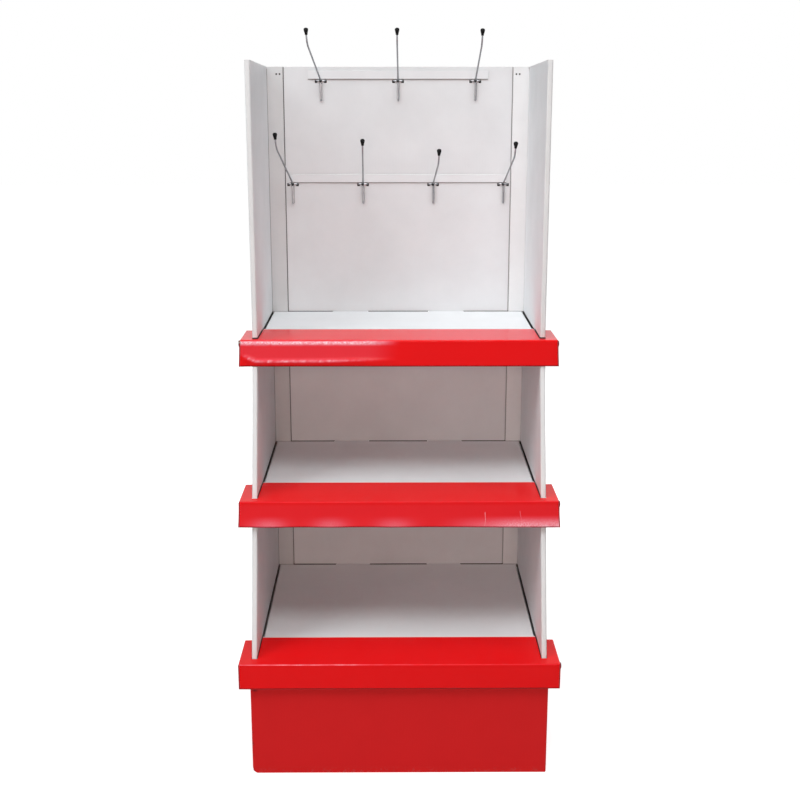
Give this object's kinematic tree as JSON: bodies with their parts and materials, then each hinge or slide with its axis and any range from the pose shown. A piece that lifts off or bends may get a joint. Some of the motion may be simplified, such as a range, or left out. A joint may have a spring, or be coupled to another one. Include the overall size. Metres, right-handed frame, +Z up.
{
  "type": "cardboard display stand",
  "caption": "Cardboard floor display stand with a plinth, stepped shelves with folded red front caps, double-skinned sides and wire hooks on the upper back.",
  "frame": {"origin": "on the floor, under the middle of the stand's overall box", "axes": "+X to the right seen from the front, +Y to the back, +Z up"},
  "size_m": [0.648, 0.555, 1.4818],
  "materials": {
    "white_board": "matte white-lined corrugated board",
    "red_print": "matte red print on corrugated board",
    "red_gloss": "glossy film on red card",
    "zinc_wire": "zinc-plated wire",
    "black_plastic": "moulded black"
  },
  "bodies": {
    "root": {"back_panel": "white_board", "cap_bottom": "red_gloss", "cap_middle": "red_gloss", "cap_rivets": "black_plastic", "cap_top": "red_gloss", "hook_lower_far_left": "zinc_wire", "hook_lower_far_right": "zinc_wire", "hook_lower_left": "zinc_wire", "hook_lower_right": "zinc_wire", "hook_rail_lower": "white_board", "hook_rail_upper": "white_board", "hook_tip_lower_far_left": "black_plastic", "hook_tip_lower_far_right": "black_plastic", "hook_tip_lower_left": "black_plastic", "hook_tip_lower_right": "black_plastic", "hook_tip_upper_left": "black_plastic", "hook_tip_upper_middle": "black_plastic", "hook_tip_upper_right": "black_plastic", "hook_upper_left": "zinc_wire", "hook_upper_middle": "zinc_wire", "hook_upper_right": "zinc_wire", "left_side": "white_board", "plinth": "red_print", "plinth_insert": "white_board", "right_side": "white_board", "shelf_bottom": "white_board", "shelf_middle": "white_board", "shelf_top": "white_board"}
  },
  "joints": []
}
